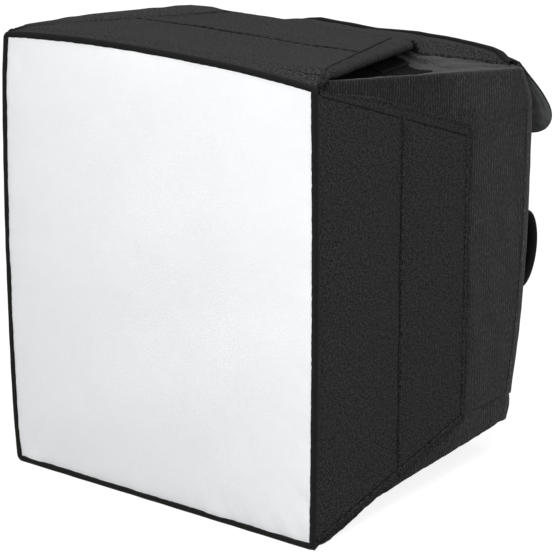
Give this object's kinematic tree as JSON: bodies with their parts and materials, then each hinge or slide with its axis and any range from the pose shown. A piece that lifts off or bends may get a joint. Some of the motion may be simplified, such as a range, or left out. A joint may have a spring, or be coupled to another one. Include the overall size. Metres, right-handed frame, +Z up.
{
  "type": "softbox",
  "caption": "Fold-flat softbox for a camera flash: white front diffuser, boarded concertina walls, stretch corner gussets and an open rear with fastening tongues.",
  "frame": {"origin": "on the underside of the bottom wall, 100 mm behind the face plane and midway between the side walls, where the box rests", "axes": "+X to the right seen from behind the light looking at its rear, +Y from the white face towards the open rear, +Z up"},
  "size_m": [0.202, 0.25, 0.2409],
  "materials": {
    "cover_nylon": "plain woven nylon, matt",
    "stretch_rib": "ribbed stretch cloth, matt",
    "edge_tape": "woven tape, matt",
    "diffuser_cloth": "white translucent cloth",
    "silver_lining": "silvered cloth, satin",
    "stiffener_board": "plain board",
    "loop_pile": "fuzzy loop pile",
    "hook_tape": "hook tape, matt"
  },
  "bodies": {
    "front_frame": {"face_binding": "edge_tape", "diffuser": "diffuser_cloth", "top_apron": "cover_nylon", "bottom_apron": "cover_nylon", "upper_right_gusset": "stretch_rib", "lower_right_gusset": "stretch_rib", "upper_left_gusset": "stretch_rib", "lower_left_gusset": "stretch_rib", "right_hook_tape": "hook_tape", "left_hook_tape": "hook_tape"},
    "right_front_panel": {"right_front_cover": "cover_nylon", "right_front_board": "stiffener_board", "right_front_lining": "silver_lining"},
    "right_rear_panel": {"right_rear_cover": "cover_nylon", "right_rear_board": "stiffener_board", "right_rear_lining": "silver_lining"},
    "left_front_panel": {"left_front_cover": "cover_nylon", "left_front_board": "stiffener_board", "left_front_lining": "silver_lining"},
    "left_rear_panel": {"left_rear_cover": "cover_nylon", "left_rear_board": "stiffener_board", "left_rear_lining": "silver_lining"},
    "top_front_panel": {"top_front_cover": "cover_nylon", "top_front_board": "stiffener_board", "top_front_lining": "silver_lining", "right_front_strip": "cover_nylon", "left_front_strip": "cover_nylon"},
    "top_rear_panel": {"top_rear_cover": "cover_nylon", "top_rear_board": "stiffener_board", "top_rear_lining": "silver_lining", "right_rear_strip": "cover_nylon", "right_loop_tape": "loop_pile", "left_rear_strip": "cover_nylon", "left_loop_tape": "loop_pile"},
    "bottom_front_panel": {"bottom_front_cover": "cover_nylon", "bottom_front_board": "stiffener_board", "bottom_front_lining": "silver_lining"},
    "bottom_rear_panel": {"bottom_rear_cover": "cover_nylon", "bottom_rear_board": "stiffener_board", "bottom_rear_lining": "silver_lining"},
    "right_back": {"right_margin": "stretch_rib", "right_hem": "stretch_rib", "right_tape_loop": "edge_tape"},
    "left_back": {"left_margin": "stretch_rib", "left_hem": "stretch_rib", "left_tape_loop": "edge_tape"},
    "top_back": {"top_margin": "cover_nylon"},
    "top_hem_band": {"top_hem": "cover_nylon"},
    "top_flap": {"top_tongue": "cover_nylon", "top_tongue_patch": "loop_pile"},
    "bottom_back": {"bottom_margin": "cover_nylon"},
    "bottom_hem_band": {"bottom_hem": "cover_nylon"},
    "bottom_flap": {"bottom_tongue": "cover_nylon", "bottom_tongue_patch": "loop_pile"}
  },
  "joints": [
    {"name": "right_front_fold", "type": "hinge", "parent": "front_frame", "child": "right_front_panel", "pos_m": [0.09805, -0.0976, 0.12], "axis": [0, 0, 1], "range_deg": [0, 90], "deforming": ["upper_right_gusset", "lower_right_gusset", "right_hook_tape"]},
    {"name": "right_rear_fold", "type": "hinge", "parent": "right_front_panel", "child": "right_rear_panel", "pos_m": [0.10125, -0.028, 0.12], "axis": [0, 0, -1], "range_deg": [0, 180]},
    {"name": "right_margin_fold", "type": "hinge", "parent": "right_rear_panel", "child": "right_back", "pos_m": [0.09805, 0.032, 0.12], "axis": [0, 0, 1], "range_deg": [0, 180]},
    {"name": "left_front_fold", "type": "hinge", "parent": "front_frame", "child": "left_front_panel", "pos_m": [-0.09805, -0.0976, 0.12], "axis": [0, 0, -1], "range_deg": [0, 90], "deforming": ["upper_left_gusset", "lower_left_gusset", "left_hook_tape"]},
    {"name": "left_rear_fold", "type": "hinge", "parent": "left_front_panel", "child": "left_rear_panel", "pos_m": [-0.10125, -0.028, 0.12], "axis": [0, 0, 1], "range_deg": [0, 180]},
    {"name": "left_margin_fold", "type": "hinge", "parent": "left_rear_panel", "child": "left_back", "pos_m": [-0.09805, 0.032, 0.12], "axis": [0, 0, -1], "range_deg": [0, 180]},
    {"name": "top_front_fold", "type": "hinge", "parent": "front_frame", "child": "top_front_panel", "pos_m": [0, -0.08825, 0.23705], "axis": [-1, 0, 0], "range_deg": [0, 87.4], "deforming": ["right_front_strip", "right_rear_strip", "left_front_strip", "left_rear_strip", "right_loop_tape", "left_loop_tape"]},
    {"name": "top_rear_fold", "type": "hinge", "parent": "top_front_panel", "child": "top_rear_panel", "pos_m": [0, -0.02792, 0.23751], "axis": [1, 0, 0], "range_deg": [0, 180]},
    {"name": "top_margin_fold", "type": "hinge", "parent": "top_rear_panel", "child": "top_back", "pos_m": [0, 0.03188, 0.23159], "axis": [-1, 0, 0], "range_deg": [0, 167.5]},
    {"name": "top_hem_fold", "type": "hinge", "parent": "top_back", "child": "top_hem_band", "pos_m": [0, 0.08064, 0.2204], "axis": [1, 0, 0], "range_deg": [0, 180]},
    {"name": "bottom_front_fold", "type": "hinge", "parent": "front_frame", "child": "bottom_front_panel", "pos_m": [0, -0.08825, 0.00295], "axis": [1, 0, 0], "range_deg": [0, 90]},
    {"name": "bottom_rear_fold", "type": "hinge", "parent": "bottom_front_panel", "child": "bottom_rear_panel", "pos_m": [0, -0.028, -0.00025], "axis": [-1, 0, 0], "range_deg": [0, 180]},
    {"name": "bottom_margin_fold", "type": "hinge", "parent": "bottom_rear_panel", "child": "bottom_back", "pos_m": [0, 0.032, 0.00295], "axis": [1, 0, 0], "range_deg": [0, 180]},
    {"name": "bottom_hem_fold", "type": "hinge", "parent": "bottom_back", "child": "bottom_hem_band", "pos_m": [0, 0.083, 0.00105], "axis": [-1, 0, 0], "range_deg": [0, 180]},
    {"name": "top_tongue_hinge", "type": "hinge", "parent": "top_hem_band", "child": "top_flap", "pos_m": [0, 0.08504, 0.21751], "axis": [1, 0, 0], "range_deg": [-53, 21]},
    {"name": "bottom_tongue_hinge", "type": "hinge", "parent": "bottom_hem_band", "child": "bottom_flap", "pos_m": [0, 0.088, 0.0027], "axis": [1, 0, 0], "range_deg": [0, 90]}
  ],
  "couplings": [
    {"joint": "right_rear_fold", "follows": "right_front_fold", "ratio": 2},
    {"joint": "right_margin_fold", "follows": "right_front_fold", "ratio": 2},
    {"joint": "left_rear_fold", "follows": "left_front_fold", "ratio": 2},
    {"joint": "left_margin_fold", "follows": "left_front_fold", "ratio": 2},
    {"joint": "top_rear_fold", "follows": "top_front_fold", "ratio": 2.0595},
    {"joint": "top_margin_fold", "follows": "top_front_fold", "ratio": 1.9165},
    {"joint": "top_hem_fold", "follows": "top_front_fold", "ratio": 2.0595},
    {"joint": "bottom_rear_fold", "follows": "bottom_front_fold", "ratio": 2},
    {"joint": "bottom_margin_fold", "follows": "bottom_front_fold", "ratio": 2},
    {"joint": "bottom_hem_fold", "follows": "bottom_front_fold", "ratio": 2}
  ]
}
